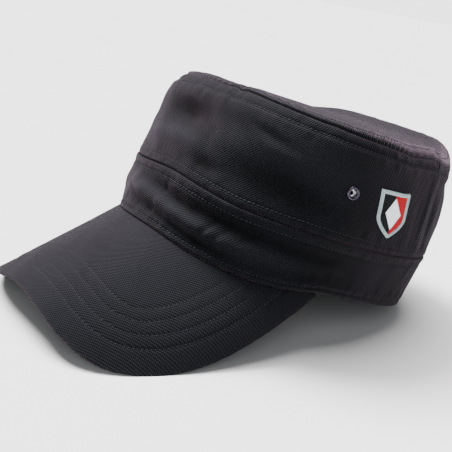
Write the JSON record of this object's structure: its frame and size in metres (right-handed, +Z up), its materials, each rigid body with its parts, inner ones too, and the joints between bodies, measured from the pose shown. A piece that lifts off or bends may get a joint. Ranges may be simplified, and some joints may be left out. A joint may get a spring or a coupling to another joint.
{
  "type": "military cap",
  "caption": "Cotton field cap with a folded band, flat oval top, curved stitched peak, air eyelets and a shield patch; worn on the head.",
  "frame": {"origin": "centre of the bounding box on the surface that the cap stands on", "axes": "the front of the peak points to -Y, the wearer's left is +X and +Z is up; the cap leans back on its peak and rear hem"},
  "size_m": [0.1778, 0.2848, 0.1319],
  "materials": {
    "band_cloth": "matt washed cotton canvas",
    "crown_wall_cloth": "matt washed cotton canvas",
    "back_panel_cloth": "matt washed cotton canvas",
    "top_panel_cloth": "matt washed cotton canvas",
    "peak_cloth": "matt washed cotton canvas",
    "eyelet_left_metal": "dark lacquered",
    "eyelet_right_metal": "dark lacquered",
    "patch_field_thread": "satin embroidery thread",
    "patch_border_thread": "satin embroidery thread"
  },
  "bodies": {
    "root": {"band": "band_cloth", "crown_wall": "crown_wall_cloth", "back_panel": "back_panel_cloth", "top_panel": "top_panel_cloth", "peak": "peak_cloth", "eyelet_left": "eyelet_left_metal", "eyelet_right": "eyelet_right_metal", "patch_field": "patch_field_thread", "patch_border": "patch_border_thread"}
  },
  "joints": []
}
